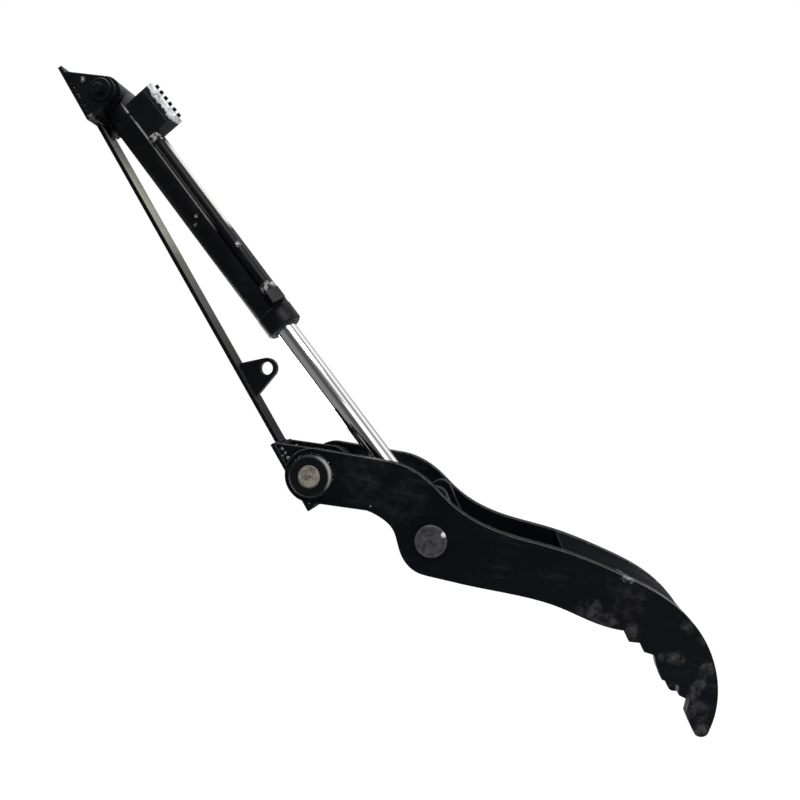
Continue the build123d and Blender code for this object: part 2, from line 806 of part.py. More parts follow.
# Pivot pin, fixed in the thumb's hubs and locked by a bolt through the far one
with BuildPart() as pivot_pin:
    with BuildSketch(pivot_view):
        Circle(pivot_pin_radius)
    extrude(amount=boss_outside, both=True)
    chamfer(pivot_pin.edges().filter_by(GeomType.CIRCLE), pin_edge)
    for sign in near_and_far.values():
        with BuildSketch(pivot_view.offset(sign * boss_outside)):
            Circle(pin_centre_radius)
        extrude(amount=-sign * pin_centre_depth, taper=40, mode=Mode.SUBTRACT)
    with BuildSketch(lock_seat):
        Circle(lock_bolt_radius)
    extrude(amount=-lock_bolt_reach, mode=Mode.SUBTRACT)
pivot_pin.part.label = "pivot_pin"
export_step(pivot_pin.part, "parts/pivot_pin.step")

with BuildPart() as lock_bolt:
    with BuildSketch(lock_seat):
        RegularPolygon(lock_bolt_flats / 2, 6, major_radius=False)
    extrude(amount=lock_bolt_head)
    with BuildSketch(lock_seat):
        Circle(lock_bolt_radius)
    extrude(amount=-lock_bolt_reach)
lock_bolt.part.label = "lock_bolt"
export_step(lock_bolt.part, "parts/lock_bolt.step")
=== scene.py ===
import json
import math

import bmesh
import bpy
from mathutils import Matrix, Vector

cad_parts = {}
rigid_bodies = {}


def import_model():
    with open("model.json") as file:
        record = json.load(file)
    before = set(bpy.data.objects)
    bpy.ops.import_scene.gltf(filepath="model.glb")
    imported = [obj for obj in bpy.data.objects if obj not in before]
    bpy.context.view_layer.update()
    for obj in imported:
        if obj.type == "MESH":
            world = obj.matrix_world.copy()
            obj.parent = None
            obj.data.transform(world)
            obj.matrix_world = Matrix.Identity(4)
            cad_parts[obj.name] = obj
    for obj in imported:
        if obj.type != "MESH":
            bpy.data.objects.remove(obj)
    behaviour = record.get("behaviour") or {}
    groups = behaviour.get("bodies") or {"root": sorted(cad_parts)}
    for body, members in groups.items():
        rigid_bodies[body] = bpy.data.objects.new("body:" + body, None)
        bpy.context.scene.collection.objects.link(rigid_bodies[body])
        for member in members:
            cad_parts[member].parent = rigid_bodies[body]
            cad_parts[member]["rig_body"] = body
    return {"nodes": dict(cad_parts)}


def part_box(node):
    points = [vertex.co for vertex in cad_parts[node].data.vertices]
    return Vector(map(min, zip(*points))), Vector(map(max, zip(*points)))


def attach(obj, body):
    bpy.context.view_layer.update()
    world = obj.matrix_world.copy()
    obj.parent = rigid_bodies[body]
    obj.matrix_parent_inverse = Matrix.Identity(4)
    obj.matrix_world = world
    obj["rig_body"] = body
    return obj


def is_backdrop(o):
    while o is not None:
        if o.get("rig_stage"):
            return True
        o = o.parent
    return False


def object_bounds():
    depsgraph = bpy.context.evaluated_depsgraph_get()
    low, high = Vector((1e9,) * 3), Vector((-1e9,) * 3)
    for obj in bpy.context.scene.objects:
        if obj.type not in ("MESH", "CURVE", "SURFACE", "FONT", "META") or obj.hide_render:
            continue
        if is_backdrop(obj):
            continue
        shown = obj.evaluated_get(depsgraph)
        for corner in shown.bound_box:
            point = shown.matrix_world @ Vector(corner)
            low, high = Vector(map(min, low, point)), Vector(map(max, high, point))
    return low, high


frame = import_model()
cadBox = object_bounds()
print("frame loaded:", len(frame["nodes"]), "nodes")

mm = 0.001
sides = {"near": -1, "far": 1}
acrossX, acrossY, acrossZ = Vector((1, 0, 0)), Vector((0, 1, 0)), Vector((0, 0, 1))
towardsNear = -acrossY


# The three pins and the cylinder's directions, read back from the frame
def nodeMiddle(name):
    low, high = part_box(name)
    return (low + high) / 2


pivot = nodeMiddle("pivot_pin")
anchor = nodeMiddle("anchor_pin")
rodPin = nodeMiddle("rod_pin_core")
cylinderAlong = (rodPin - anchor).normalized()
cylinderAcross = Vector((-cylinderAlong.z, 0, cylinderAlong.x))


# Camera at the photograph's own viewpoint
cameraSettings = {
    "place": Vector((410.69, -1314.33, -32.82)),
    "right": Vector((0.855484, 0.136820, -0.499427)),
    "up": Vector((0.502289, 0.015249, 0.864565)),
    "focalPixels": 708.0,
    "framePixels": 800.0,
    "sensor": 36.0,
    "clip": (0.01, 50),
}


def turned(right, up, place):
    right = right.normalized()
    back = right.cross(up).normalized()
    up = back.cross(right)
    return Matrix((
        (right.x, up.x, back.x, place.x),
        (right.y, up.y, back.y, place.y),
        (right.z, up.z, back.z, place.z),
        (0, 0, 0, 1),
    ))


def addCamera(settings):
    cameraData = bpy.data.cameras.new("photoCamera")
    cameraData.sensor_fit = "HORIZONTAL"
    cameraData.sensor_width = settings["sensor"]
    cameraData.lens = settings["focalPixels"] / settings["framePixels"] * settings["sensor"]
    cameraData.clip_start, cameraData.clip_end = settings["clip"]
    camera = bpy.data.objects.new("photoCamera", cameraData)
    camera.matrix_world = turned(settings["right"], settings["up"], settings["place"] * mm)
    bpy.context.collection.objects.link(camera)
    bpy.context.scene.camera = camera


addCamera(cameraSettings)
bpy.context.scene.view_settings.view_transform = "Standard"


# Material helpers
noiseLow, noiseHigh = 0.3, 0.7  # a noise seldom leaves this span
fadeFrom = 0.8  # a mark along the cylinder fades over the last fifth of its reach


def hexColour(text):
    channels = [int(text[i:i + 2], 16) / 255 for i in (1, 3, 5)]
    linear = [c / 12.92 if c <= 0.04045 else ((c + 0.055) / 1.055) ** 2.4 for c in channels]
    return (*linear, 1.0)


def perMetre(size):
    return 1 / (size * mm)


def addNode(tree, kind, inputs=None, **settings):
    node = tree.nodes.new("ShaderNode" + kind)
    for name, value in settings.items():
        setattr(node, name, value)
    for socket, value in (inputs or {}).items():
        if isinstance(value, bpy.types.NodeSocket):
            tree.links.new(value, node.inputs[socket])
        else:
            node.inputs[socket].default_value = value
    return node


def newMaterial(name):
    material = bpy.data.materials.new(name)
    material.use_nodes = True
    tree = material.node_tree
    tree.nodes.clear()
    shader = addNode(tree, "BsdfPrincipled")
    addNode(tree, "OutputMaterial", {"Surface": shader.outputs[0]})
    place = addNode(tree, "TexCoord").outputs["Object"]
    return material, tree, shader, place


# The way from a point, counted only along the axes that the plane holds, and its length
def awayFrom(tree, place, centre, plane=(1, 0, 1)):
    away = addNode(tree, "VectorMath", {0: place, 1: centre}, operation="SUBTRACT").outputs[0]
    flat = addNode(tree, "VectorMath", {0: away, 1: plane}, operation="MULTIPLY").outputs[0]
    distance = addNode(tree, "VectorMath", {0: flat}, operation="LENGTH").outputs["Value"]
    return flat, distance


# Full strength along a length of the cylinder, fading at both of its ends
def alongCylinder(tree, place, span):
    fromAnchor = addNode(tree, "VectorMath", {0: place, 1: anchor}, operation="SUBTRACT").outputs[0]
    level = addNode(tree, "VectorMath", {
        0: fromAnchor, 1: cylinderAlong,
    }, operation="DOT_PRODUCT").outputs["Value"]
    offset = addNode(tree, "Math", {0: level, 1: span["middle"] * mm}, operation="SUBTRACT").outputs[0]
    reach = addNode(tree, "Math", {0: offset}, operation="ABSOLUTE").outputs[0]
    return addNode(tree, "MapRange", {
        "Value": reach, "From Min": span["half"] * mm, "From Max": span["half"] * mm * fadeFrom,
    }).outputs["Result"]


# Lays steps of a value and its tone along a ramp that runs from low to high. A new ramp
# has two stops of its own, which become the first two steps.
def layTones(ramp, steps, low, high):
    stops = ramp.color_ramp.elements
    for number, (value, tone) in enumerate(steps):
        place = (value - low) / (high - low)
        stop = stops[number] if number < 2 else stops.new(place)
        stop.position = place
        stop.color = (tone, tone, tone, 1)


# Satin black enamel, sprayed over the whole weldment: a slight orange peel breaks up
# the reflections, handling leaves soft scuffs, and a painted highlight runs along sharp edges
enamel = {
    "black": "#060608",
    "blueBlack": "#090b10",
    "scuff": "#1a1c20",
    "bareWear": "#3c3b3c",
    # edge is the colour of the painted highlight along edges
    "edge": "#9a9ca0",
    "paintedHighlight": "#e6e4de",
    "chip": "#b4b4b0",
    "speck": "#b9babc",
    "roughness": (0.34, 0.46),
    "scuffDulls": 0.2,
    "specular": 0.1,
    "cloudSize": 60,
    "patchRange": (0.44, 0.62),
    "scuffLength": 70,
    "scuffDepth": 40,
    "scuffWidth": 9,  # real scuffs are finer, and drawn as coarse as they need to show
    "scuffAngle": math.radians(-38),
    "scuffRange": (0.52, 0.72),
    "blotchSize": 16,
    "rubbedRange": (0.42, 0.62),
    "raggedSize": 3.2,
    "speckSize": 2.6,
    "speckRange": (0.68, 0.74),
    "peelSize": 7,  # real orange peel is about 2 mm, and drawn as coarse as a pixel shows
    "peelDepth": 0.05,
    "peelStrength": 0.08,
    # The edge settings lay a painted highlight along the edges that face the light
    "edgeRadius": 1.8,
    "edgeLitFrom": Vector((0.6, 0, 0.8)),
    "edgeLikeness": (0.985, 0.8),
    "edgeBreaks": (0.34, 0.56),
    "edgeLeast": 0.45,
    "edgeLitRange": (0.15, 0.45),
}
# How far noise moves a spot's outline, and where it starts and is full, by its reach
wornShape = {"ragged": -1.6, "outer": 0.3, "inner": -0.4}
chipShape = {"ragged": 4, "outer": 2.9, "inner": 2.1}


def scuffLines(tree, place):
    turnedPlace = addNode(tree, "Mapping", {
        "Vector": place, "Rotation": (0, enamel["scuffAngle"], 0),
    }).outputs[0]
    lengths = (enamel["scuffLength"], enamel["scuffDepth"], enamel["scuffWidth"])
    stretched = addNode(tree, "VectorMath", {
        0: turnedPlace, 1: [perMetre(length) for length in lengths],
    }, operation="MULTIPLY").outputs[0]
    noise = addNode(tree, "TexNoise", {
        "Vector": stretched, "Scale": 1.0, "Detail": 4.0, "Distortion": 0.6,
    }).outputs["Fac"]
    low, high = enamel["scuffRange"]
    return addNode(tree, "MapRange", {
        "Value": noise, "From Min": low, "From Max": high,
    }).outputs["Result"]


# A spot is x and z in mm, its reach and its strength, and y where it isn't right across
def raggedSpot(tree, place, noise, spot, shape):
    x, z, reach, strength, *y = spot
    centre = Vector((x, y[0] if y else 0, z)) * mm
    distance = awayFrom(tree, place, centre, (1, len(y), 1))[1]
    ragged = addNode(tree, "Math", {
        0: noise, 1: shape["ragged"] * reach * mm, 2: distance,
    }, operation="MULTIPLY_ADD").outputs[0]
    return addNode(tree, "MapRange", {
        "Value": ragged,
        "From Min": shape["outer"] * reach * mm,
        "From Max": shape["inner"] * reach * mm,
        "To Max": strength,
    }).outputs["Result"]


# Where the thumb grips and knocks, the paint is rubbed through in blotches
def wornPatches(tree, place, colour, blotch, worn):
    low, high = enamel["rubbedRange"]
    rubbed = addNode(tree, "MapRange", {
        "Value": blotch, "From Min": low, "From Max": high,
    }).outputs["Result"]
    mask = None
    for patch in worn:
        spot = raggedSpot(tree, place, blotch, patch, wornShape)
        if mask:
            spot = addNode(tree, "Math", {0: mask, 1: spot}, operation="MAXIMUM").outputs[0]
        mask = spot
    share = addNode(tree, "Math", {0: mask, 1: rubbed}, operation="MULTIPLY").outputs[0]
    return addNode(tree, "Mix", {
        0: share, 6: colour, 7: hexColour(enamel["bareWear"]),
    }, data_type="RGBA").outputs[2]


# Single chips down to the steel, with ragged outlines
def steelChips(tree, place, colour, chips):
    noise = addNode(tree, "TexNoise", {
        "Vector": place, "Scale": perMetre(enamel["raggedSize"]), "Detail": 3.0,
    }).outputs["Fac"]
    for chip in chips:
        colour = addNode(tree, "Mix", {
            0: raggedSpot(tree, place, noise, chip, chipShape),
            6: colour,
            7: hexColour(enamel["chip"]),
        }, data_type="RGBA").outputs[2]
    return colour


# Painted highlights: pale lines along a tube where a lamp's reflection lies along its crest
def paintedHighlightStreak(tree, place, colour, paintedHighlight):
    facing = addNode(tree, "TexCoord").outputs["Normal"]
    turn = math.radians(paintedHighlight["turn"])
    width = math.radians(paintedHighlight["width"])
    crest = cylinderAcross * math.sin(turn) + towardsNear * math.cos(turn)
    towards = addNode(tree, "VectorMath", {
        0: facing, 1: crest,
    }, operation="DOT_PRODUCT").outputs["Value"]
    line = addNode(tree, "MapRange", {
        "Value": towards,
        "From Min": math.cos(width),
        "From Max": math.cos(width / 2),
        "To Max": paintedHighlight["strength"],
    }).outputs["Result"]
    within = alongCylinder(tree, place, paintedHighlight)
    mask = addNode(tree, "Math", {0: line, 1: within}, operation="MULTIPLY").outputs[0]
    return addNode(tree, "Mix", {
        0: mask, 6: colour, 7: hexColour(enamel["paintedHighlight"]),
    }, data_type="RGBA").outputs[2]


# A painted reflection that whitens one flank where it is seen at a slant
def paintedFlankSheen(tree, place, colour, paintedSheen):
    slant = addNode(tree, "LayerWeight", {"Blend": 0.5}).outputs["Facing"]
    low, high = paintedSheen["slant"]
    slanted = addNode(tree, "MapRange", {
        "Value": slant, "From Min": low, "From Max": high, "To Max": paintedSheen["strength"],
    }).outputs["Result"]
    facing = addNode(tree, "TexCoord").outputs["Normal"]
    towards = addNode(tree, "VectorMath", {
        0: facing, 1: cylinderAcross,
    }, operation="DOT_PRODUCT").outputs["Value"]
    low, high = paintedSheen["flank"]
    flank = addNode(tree, "MapRange", {
        "Value": towards, "From Min": low, "From Max": high,
    }).outputs["Result"]
    within = alongCylinder(tree, place, paintedSheen)
    mask = addNode(tree, "Math", {0: slanted, 1: flank}, operation="MULTIPLY").outputs[0]
    mask = addNode(tree, "Math", {0: mask, 1: within}, operation="MULTIPLY").outputs[0]
    return addNode(tree, "Mix", {
        0: mask, 6: colour, 7: hexColour(enamel["paintedHighlight"]),
    }, data_type="RGBA").outputs[2]


# A painted highlight: a pale crescent on a round rim, on the side towards the light
def paintedRimGlint(tree, place, colour, paintedGlint):
    flat, distance = awayFrom(tree, place, paintedGlint["centre"])
    onRim = addNode(tree, "MapRange", {
        "Value": distance, "From Min": paintedGlint["from"] * mm, "From Max": paintedGlint["to"] * mm,
    }).outputs["Result"]
    heading = addNode(tree, "VectorMath", {0: flat}, operation="NORMALIZE").outputs[0]
    towards = addNode(tree, "VectorMath", {
        0: heading, 1: paintedGlint["towards"],
    }, operation="DOT_PRODUCT").outputs["Value"]
    onSide = addNode(tree, "MapRange", {
        "Value": towards,
        "From Min": paintedGlint["edge"],
        "From Max": paintedGlint["full"],
        "To Max": paintedGlint["strength"],
    }).outputs["Result"]
    mask = addNode(tree, "Math", {0: onRim, 1: onSide}, operation="MULTIPLY").outputs[0]
    return addNode(tree, "Mix", {
        0: mask, 6: colour, 7: hexColour(enamel["paintedHighlight"]),
    }, data_type="RGBA").outputs[2]


# Small pale specks of spatter and chipped paint
def spatterSpecks(tree, place, colour, specks):
    noise = addNode(tree, "TexNoise", {
        "Vector": place, "Scale": perMetre(enamel["speckSize"]), "Detail": 1.0,
    }).outputs["Fac"]
    low, high = enamel["speckRange"]
    mask = addNode(tree, "MapRange", {
        "Value": noise, "From Min": low, "From Max": high, "To Max": specks,
    }).outputs["Result"]
    return addNode(tree, "Mix", {
        0: mask, 6: colour, 7: hexColour(enamel["speck"]),
    }, data_type="RGBA").outputs[2]


# A rounded normal differs from the true one only near an edge. A painted highlight lies
# along the edges that face up and away from the stick, towards the light
def paintedEdgeHighlights(tree, colour, blotch, edgeHighlight):
    rounded = addNode(tree, "Bevel", {"Radius": enamel["edgeRadius"] * mm}, samples=4).outputs[0]
    faceNormal = addNode(tree, "NewGeometry").outputs["Normal"]
    likeness = addNode(tree, "VectorMath", {
        0: rounded, 1: faceNormal,
    }, operation="DOT_PRODUCT").outputs["Value"]
    alike, unlike = enamel["edgeLikeness"]
    edgeMask = addNode(tree, "MapRange", {
        "Value": likeness, "From Min": alike, "From Max": unlike, "To Max": edgeHighlight,
    }).outputs["Result"]
    low, high = enamel["edgeBreaks"]
    breaks = addNode(tree, "MapRange", {
        "Value": blotch, "From Min": low, "From Max": high, "To Min": enamel["edgeLeast"],
    }).outputs["Result"]
    upward = addNode(tree, "VectorMath", {
        0: rounded, 1: enamel["edgeLitFrom"],
    }, operation="DOT_PRODUCT").outputs["Value"]
    low, high = enamel["edgeLitRange"]
    facesLight = addNode(tree, "MapRange", {
        "Value": upward, "From Min": low, "From Max": high,
    }).outputs["Result"]
    brokenEdge = addNode(tree, "Math", {0: edgeMask, 1: breaks}, operation="MULTIPLY").outputs[0]
    edgeHighlightShare = addNode(tree, "Math", {0: brokenEdge, 1: facesLight}, operation="MULTIPLY").outputs[0]
    return addNode(tree, "Mix", {
        0: edgeHighlightShare, 6: colour, 7: hexColour(enamel["edge"]),
    }, data_type="RGBA").outputs[2]


# Pale dust lies on the bar's outer face, thick below the anchor and thin lower down, with a
# painted sheen of the bright room in it. Each step is a height in mm and the share of both there.
barDustAndSheen = {
    "colour": "#a6a393",
    "steps": (
        (140, 0.02), (240, 0.04), (340, 0.09), (440, 0.2), (490, 0.26), (540, 0.7), (590, 0.95),
        (640, 1.0), (690, 0.75), (750, 0.3),
    ),
    "span": (100, 800),
    "frontRange": (0.6, 0.9),
    "driftSize": 45,
    "driftLeast": 0.8,
}


def paleDustAndSheen(tree, place, colour, dustAndSheen):
    height = addNode(tree, "VectorMath", {
        0: place, 1: acrossZ,
    }, operation="DOT_PRODUCT").outputs["Value"]
    low, high = dustAndSheen["span"]
    position = addNode(tree, "MapRange", {
        "Value": height, "From Min": low * mm, "From Max": high * mm,
    }).outputs["Result"]
    layer = addNode(tree, "ValToRGB", {"Fac": position})
    layTones(layer, dustAndSheen["steps"], low, high)
    facing = addNode(tree, "TexCoord").outputs["Normal"]
    outward = addNode(tree, "VectorMath", {
        0: facing, 1: acrossX,
    }, operation="DOT_PRODUCT").outputs["Value"]
    low, high = dustAndSheen["frontRange"]
    front = addNode(tree, "MapRange", {
        "Value": outward, "From Min": low, "From Max": high,
    }).outputs["Result"]
    drift = addNode(tree, "TexNoise", {
        "Vector": place, "Scale": perMetre(dustAndSheen["driftSize"]), "Detail": 3.0,
    }).outputs["Fac"]
    uneven = addNode(tree, "MapRange", {
        "Value": drift, "From Min": noiseLow, "From Max": noiseHigh, "To Min": dustAndSheen["driftLeast"],
    }).outputs["Result"]
    share = addNode(tree, "Math", {
        0: front, 1: layer.outputs["Color"],
    }, operation="MULTIPLY").outputs[0]
    share = addNode(tree, "Math", {0: share, 1: uneven}, operation="MULTIPLY").outputs[0]
    return addNode(tree, "Mix", {
        0: share, 6: colour, 7: hexColour(dustAndSheen["colour"]),
    }, data_type="RGBA").outputs[2]


def satinEnamel(name, scuffs=0.5, edgeHighlight=0.7, specular=enamel["specular"], worn=(), chips=(),
                paintedHighlights=(), paintedSheen=None, paintedGlint=None, specks=0.0, dustAndSheen=None):
    material, tree, shader, place = newMaterial(name)
    clouds = addNode(tree, "TexNoise", {
        "Vector": place, "Scale": perMetre(enamel["cloudSize"]), "Detail": 4.0, "Roughness": 0.6,
    }).outputs["Fac"]
    colour = addNode(tree, "Mix", {
        0: clouds, 6: hexColour(enamel["black"]), 7: hexColour(enamel["blueBlack"]),
    }, data_type="RGBA").outputs[2]

    # Long soft scuffs that run much the same way, in patches
    low, high = enamel["patchRange"]
    patches = addNode(tree, "MapRange", {
        "Value": clouds, "From Min": low, "From Max": high,
    }).outputs["Result"]
    patchy = addNode(tree, "Math", {
        0: scuffLines(tree, place), 1: patches,
    }, operation="MULTIPLY").outputs[0]
    scuffed = addNode(tree, "Math", {0: patchy, 1: scuffs}, operation="MULTIPLY").outputs[0]
    colour = addNode(tree, "Mix", {
        0: scuffed, 6: colour, 7: hexColour(enamel["scuff"]),
    }, data_type="RGBA").outputs[2]

    # Then the marks, each laid over the ones before it
    blotch = addNode(tree, "TexNoise", {
        "Vector": place,
        "Scale": perMetre(enamel["blotchSize"]),
        "Detail": 6.0,
        "Roughness": 0.8,
        "Distortion": 0.3,
    }).outputs["Fac"]
    if worn:
        colour = wornPatches(tree, place, colour, blotch, worn)
    if chips:
        colour = steelChips(tree, place, colour, chips)
    for paintedHighlight in paintedHighlights:
        colour = paintedHighlightStreak(tree, place, colour, paintedHighlight)
    if paintedSheen:
        colour = paintedFlankSheen(tree, place, colour, paintedSheen)
    if paintedGlint:
        colour = paintedRimGlint(tree, place, colour, paintedGlint)
    if specks:
        colour = spatterSpecks(tree, place, colour, specks)
    colour = paintedEdgeHighlights(tree, colour, blotch, edgeHighlight)
    if dustAndSheen:
        colour = paleDustAndSheen(tree, place, colour, dustAndSheen)

    low, high = enamel["roughness"]
    gloss = addNode(tree, "MapRange", {
        "Value": clouds, "From Min": noiseLow, "From Max": noiseHigh, "To Min": low, "To Max": high,
    }).outputs["Result"]
    dulled = addNode(tree, "Math", {
        0: scuffed, 1: enamel["scuffDulls"],
    }, operation="MULTIPLY").outputs[0]
    roughness = addNode(tree, "Math", {0: gloss, 1: dulled}, operation="ADD").outputs[0]
    peel = addNode(tree, "TexNoise", {
        "Vector": place, "Scale": perMetre(enamel["peelSize"]), "Detail": 1.0,
    }).outputs["Fac"]
    bump = addNode(tree, "Bump", {
        "Height": peel, "Strength": enamel["peelStrength"], "Distance": enamel["peelDepth"] * mm,
    }).outputs[0]
    for socket, source in (("Base Color", colour), ("Roughness", roughness), ("Normal", bump)):
        tree.links.new(source, shader.inputs[socket])
    shader.inputs["Specular IOR Level"].default_value = specular
    return material


# Turned steel pin ends: rings left by the lathe tool, browned and dulled by handling,
# and a painted highlight round the rim of the end, where a chamfer would catch the light
turnedSteel = {
    "ringPitch": 4.6,  # real feed marks are finer, and drawn as coarse as they need to show
    "ringDepth": 0.12,
    "ringWander": 7.0,
    "ringTone": 0.26,
    "ringStrength": 0.5,
    "grimeSize": 11,
    "grimeRange": (0.42, 0.62),
    "rimHighlightHalfWidth": 0.9,
    "rimHighlightTone": 0.55,
    "chipReach": (6, 2.5),
    "chipTone": 0.95,
    # chip is the colour of the painted highlight on the rod pin head's rim
    "chip": "#d9d8d3",
    "roughness": (0.4, 0.62),
    "metallic": 0.3,
}


def turnedPinEnd(name, end):
    material, tree, shader, place = newMaterial(name)
    radius = awayFrom(tree, place, end["centre"])[1]
    grime = addNode(tree, "TexNoise", {
        "Vector": place, "Scale": perMetre(turnedSteel["grimeSize"]), "Detail": 6.0, "Roughness": 0.7,
    }).outputs["Fac"]
    wander = addNode(tree, "Math", {
        0: grime, 1: turnedSteel["ringWander"],
    }, operation="MULTIPLY").outputs[0]
    phase = addNode(tree, "Math", {
        0: radius, 1: 2 * math.pi * perMetre(turnedSteel["ringPitch"]), 2: wander,
    }, operation="MULTIPLY_ADD").outputs[0]
    wave = addNode(tree, "Math", {0: phase}, operation="SINE").outputs[0]
    rings = addNode(tree, "MapRange", {"Value": wave, "From Min": -1.0}).outputs["Result"]
    low, high = turnedSteel["grimeRange"]
    dirt = addNode(tree, "MapRange", {
        "Value": grime, "From Min": low, "From Max": high, "To Max": end["dirt"],
    }).outputs["Result"]
    ringed = addNode(tree, "MapRange", {
        "Value": rings, "To Max": turnedSteel["ringTone"],
    }).outputs["Result"]
    darkness = addNode(tree, "Math", {0: dirt, 1: ringed}, operation="ADD", use_clamp=True).outputs[0]
    colour = addNode(tree, "Mix", {
        0: darkness, 6: hexColour(end["bright"]), 7: hexColour(end["dark"]),
    }, data_type="RGBA").outputs[2]
    onRim = addNode(tree, "Math", {
        0: radius, 1: end["rim"] * mm, 2: turnedSteel["rimHighlightHalfWidth"] * mm,
    }, operation="COMPARE").outputs[0]
    rim = addNode(tree, "Math", {0: onRim, 1: turnedSteel["rimHighlightTone"]}, operation="MULTIPLY").outputs[0]
    colour = addNode(tree, "Mix", {
        0: rim, 6: colour, 7: hexColour(end["bright"]),
    }, data_type="RGBA").outputs[2]
    # A pale spot on the rim, on the side towards the light: a painted highlight
    if "chip" in end:
        away = addNode(tree, "VectorMath", {
            0: place, 1: end["chip"],
        }, operation="DISTANCE").outputs["Value"]
        outer, inner = turnedSteel["chipReach"]
        close = addNode(tree, "MapRange", {
            "Value": away, "From Min": outer * mm, "From Max": inner * mm,
            "To Max": turnedSteel["chipTone"],
        }).outputs["Result"]
        colour = addNode(tree, "Mix", {
            0: close, 6: colour, 7: hexColour(turnedSteel["chip"]),
        }, data_type="RGBA").outputs[2]
    low, high = turnedSteel["roughness"]
    roughness = addNode(tree, "MapRange", {
        "Value": grime, "From Min": noiseLow, "From Max": noiseHigh, "To Min": low, "To Max": high,
    }).outputs["Result"]
    bump = addNode(tree, "Bump", {
        "Height": rings,
        "Strength": turnedSteel["ringStrength"],
        "Distance": turnedSteel["ringDepth"] * mm,
    }).outputs[0]
    for socket, source in (("Base Color", colour), ("Roughness", roughness), ("Normal", bump)):
        tree.links.new(source, shader.inputs[socket])
    shader.inputs["Metallic"].default_value = turnedSteel["metallic"]
    return material


# Hard chrome on the rod: ground and polished, with a painted reflection in long bands,
# light and dark. Each band is degrees from the near side round towards the back, and its tone.
chromedRod = {
    "span": (-90, 90),
    "paintedReflectionBands": (
        (-90, 0.2), (-58, 0.25), (-46, 0.95), (-14, 1.0), (3, 0.28), (9, 0.4), (20, 0.98),
        (33, 1.0), (41, 0.24), (46, 0.26), (56, 0.95), (66, 0.9), (78, 0.42), (90, 0.8),
    ),
    "honeSize": 9,
    "roughness": (0.05, 0.09),
}


def hardChrome():
    material, tree, shader, place = newMaterial("hardChrome")
    facing = addNode(tree, "TexCoord").outputs["Normal"]
    nearward = addNode(tree, "VectorMath", {
        0: facing, 1: towardsNear,
    }, operation="DOT_PRODUCT").outputs["Value"]
    backward = addNode(tree, "VectorMath", {
        0: facing, 1: cylinderAcross,
    }, operation="DOT_PRODUCT").outputs["Value"]
    turn = addNode(tree, "Math", {0: backward, 1: nearward}, operation="ARCTAN2").outputs[0]
    low, high = chromedRod["span"]
    position = addNode(tree, "MapRange", {
        "Value": turn, "From Min": math.radians(low), "From Max": math.radians(high),
    }).outputs["Result"]
    paintedReflectionBands = addNode(tree, "ValToRGB", {"Fac": position})
    layTones(paintedReflectionBands, chromedRod["paintedReflectionBands"], low, high)
    hone = addNode(tree, "TexNoise", {
        "Vector": place, "Scale": perMetre(chromedRod["honeSize"]), "Detail": 3.0,
    }).outputs["Fac"]
    low, high = chromedRod["roughness"]
    roughness = addNode(tree, "MapRange", {
        "Value": hone, "From Min": noiseLow, "From Max": noiseHigh, "To Min": low, "To Max": high,
    }).outputs["Result"]
    tree.links.new(paintedReflectionBands.outputs["Color"], shader.inputs["Base Color"])
    tree.links.new(roughness, shader.inputs["Roughness"])
    shader.inputs["Metallic"].default_value = 1.0
    return material


# Zinc-plated steel: small crystals give a soft grey mottle
zincPlated = {"dull": "#7d7f82", "bright": "#b4b6b8", "spangleSize": 3, "roughness": (0.28, 0.5)}


def zincPlate():
    material, tree, shader, place = newMaterial("zincPlate")
    spangle = addNode(tree, "TexNoise", {
        "Vector": place, "Scale": perMetre(zincPlated["spangleSize"]), "Detail": 4.0,
    }).outputs["Fac"]
    colour = addNode(tree, "Mix", {
        0: spangle, 6: hexColour(zincPlated["dull"]), 7: hexColour(zincPlated["bright"]),
    }, data_type="RGBA").outputs[2]
    low, high = zincPlated["roughness"]
    roughness = addNode(tree, "MapRange", {
        "Value": spangle, "From Min": noiseLow, "From Max": noiseHigh, "To Min": low, "To Max": high,
    }).outputs["Result"]
    tree.links.new(colour, shader.inputs["Base Color"])
    tree.links.new(roughness, shader.inputs["Roughness"])
    shader.inputs["Metallic"].default_value = 1.0
    return material


# Zinc-plated nuts caught by the black spray: patches of bright metal between paint
sprayedNuts = {
    "paint": "#0b0b0d",
    "bare": "#a0a09d",
    "mistSize": 9,
    "bareRange": (0.5, 0.6),
    "metallic": 0.4,
    "roughness": 0.42,
}


def sprayedZinc():
    material, tree, shader, place = newMaterial("sprayedZinc")
    mist = addNode(tree, "TexNoise", {
        "Vector": place, "Scale": perMetre(sprayedNuts["mistSize"]), "Detail": 5.0,
    }).outputs["Fac"]
    low, high = sprayedNuts["bareRange"]
    bare = addNode(tree, "MapRange", {
        "Value": mist, "From Min": low, "From Max": high,
    }).outputs["Result"]
    colour = addNode(tree, "Mix", {
        0: bare, 6: hexColour(sprayedNuts["paint"]), 7: hexColour(sprayedNuts["bare"]),
    }, data_type="RGBA").outputs[2]
    metallic = addNode(tree, "Math", {
        0: bare, 1: sprayedNuts["metallic"],
    }, operation="MULTIPLY").outputs[0]
    tree.links.new(colour, shader.inputs["Base Color"])
    tree.links.new(metallic, shader.inputs["Metallic"])
    shader.inputs["Roughness"].default_value = sprayedNuts["roughness"]
    return material


# Cast aluminium cover: pale and finely grained, with black overspray along its lower side
castCover = {
    "pale": "#cfd0d1",
    "grey": "#8a8c8f",
    "overspray": "#101114",
    "patchSize": 9,
    "patchRange": (0.36, 0.56),
    "sprayRange": (0.02, -0.14),
    "grainSize": 4,
    "grainDepth": 0.2,
    "grainStrength": 0.4,
    "roughness": 0.55,
    "specular": 0.12,
}


